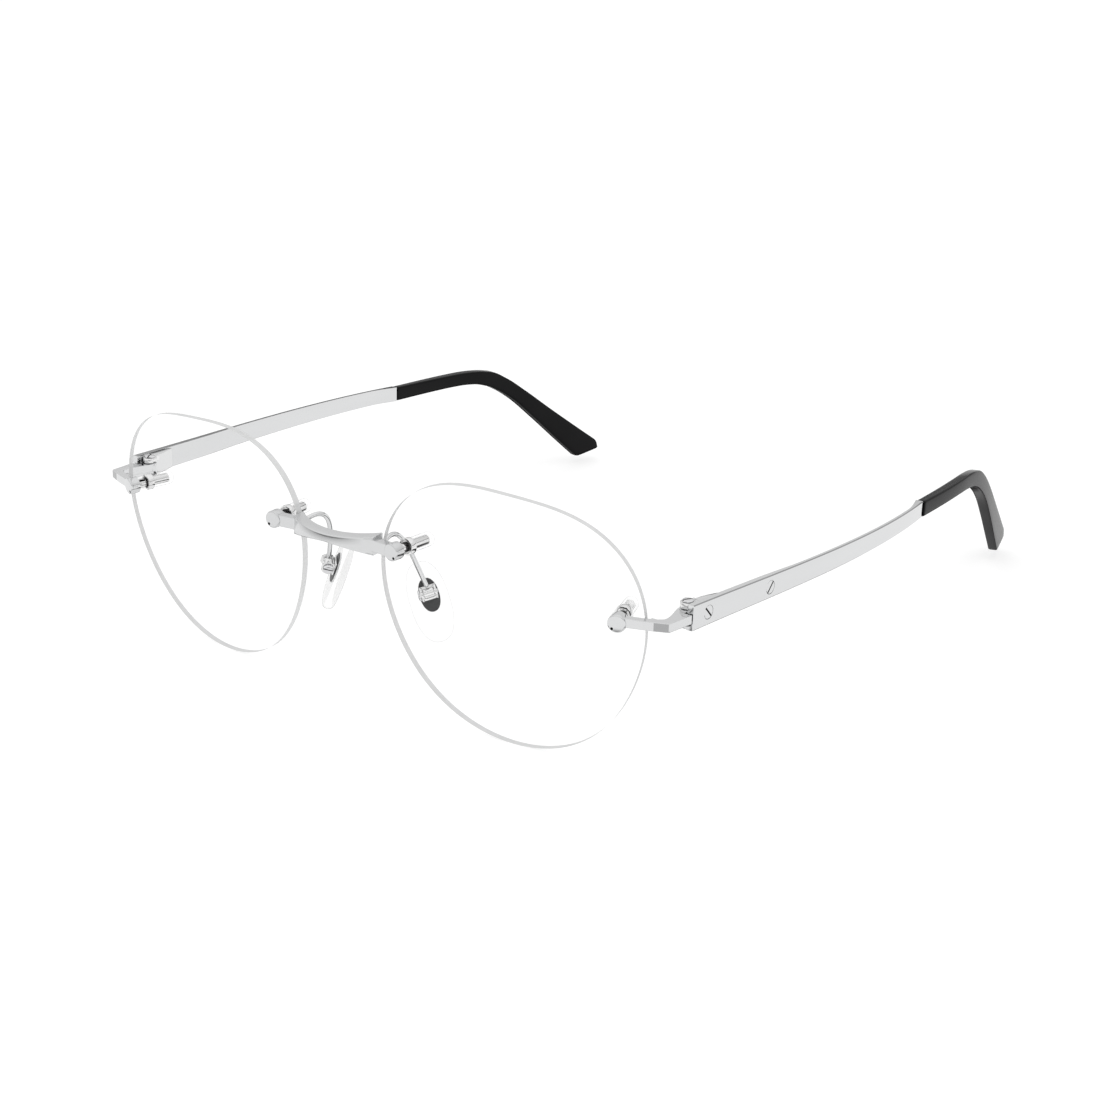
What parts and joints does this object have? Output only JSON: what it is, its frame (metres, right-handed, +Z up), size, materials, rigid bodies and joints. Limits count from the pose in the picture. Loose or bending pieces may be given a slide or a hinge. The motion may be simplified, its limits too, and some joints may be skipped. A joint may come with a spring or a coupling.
{
  "type": "rimless eyeglasses",
  "caption": "Rimless eyeglasses with clear drilled lenses, thin steel bridge and flat hinged temples, black tips and rocking clear nose pads.",
  "frame": {"origin": "middle of the open glasses' footprint, on the surface that the lens bottoms and the temple tips rest on", "axes": "+X to the wearer's left, +Y from the lenses back to the ears, +Z up; the wearer looks along -Y"},
  "size_m": [0.135, 0.1654, 0.0458],
  "materials": {
    "satin_steel": "satin",
    "pin_steel": "satin",
    "screw_steel": "satin",
    "clear_lens": "clear, polished",
    "clear_sleeve": "clear, slightly cloudy",
    "clear_silicone": "clear, soft",
    "dark_insert": "dark",
    "black_acetate": "polished"
  },
  "bodies": {
    "front": {"bridge": "satin_steel", "endpiece_left": "satin_steel", "endpiece_right": "satin_steel", "hinge_screw_left": "screw_steel", "hinge_screw_right": "screw_steel", "lens_left": "clear_lens", "lens_right": "clear_lens", "nose_ferrule_left": "satin_steel", "nose_ferrule_right": "satin_steel", "nose_pin_left": "pin_steel", "nose_pin_right": "pin_steel", "nose_sleeve_left": "clear_sleeve", "nose_sleeve_right": "clear_sleeve", "pad_arm_cup_left": "satin_steel", "pad_arm_cup_right": "satin_steel", "pad_arm_left": "satin_steel", "pad_arm_right": "satin_steel", "pad_screw_left": "screw_steel", "pad_screw_right": "screw_steel", "temple_ferrule_left": "satin_steel", "temple_ferrule_right": "satin_steel", "temple_pin_left": "pin_steel", "temple_pin_right": "pin_steel", "temple_sleeve_left": "clear_sleeve", "temple_sleeve_right": "clear_sleeve"},
    "temple_left": {"temple_left": "satin_steel", "temple_tip_left": "black_acetate", "hinge_leaf_left": "satin_steel", "hinge_leaf_screw_left": "screw_steel", "temple_screw_left": "screw_steel"},
    "pad_left": {"nose_pad_left": "clear_silicone", "pad_insert_left": "dark_insert", "pad_cradle_left": "satin_steel"},
    "temple_right": {"temple_right": "satin_steel", "temple_tip_right": "black_acetate", "hinge_leaf_right": "satin_steel", "hinge_leaf_screw_right": "screw_steel", "temple_screw_right": "screw_steel"},
    "pad_right": {"nose_pad_right": "clear_silicone", "pad_insert_right": "dark_insert", "pad_cradle_right": "satin_steel"}
  },
  "joints": [
    {"name": "temple_hinge_left", "type": "hinge", "parent": "front", "child": "temple_left", "pos_m": [0.0615, -0.0648, 0.02844], "axis": [0, 0, 1], "range_deg": [0, 90]},
    {"name": "temple_hinge_right", "type": "hinge", "parent": "front", "child": "temple_right", "pos_m": [-0.0615, -0.0648, 0.02844], "axis": [0, 0, -1], "range_deg": [0, 85]},
    {"name": "pad_rock_left", "type": "hinge", "parent": "front", "child": "pad_left", "pos_m": [0.01188, -0.06847, 0.02088], "axis": [0.668, 0.6853, 0.2902], "range_deg": [-8, 8]},
    {"name": "pad_rock_right", "type": "hinge", "parent": "front", "child": "pad_right", "pos_m": [-0.01188, -0.06847, 0.02088], "axis": [0.668, -0.6853, -0.2902], "range_deg": [-8, 8]}
  ]
}
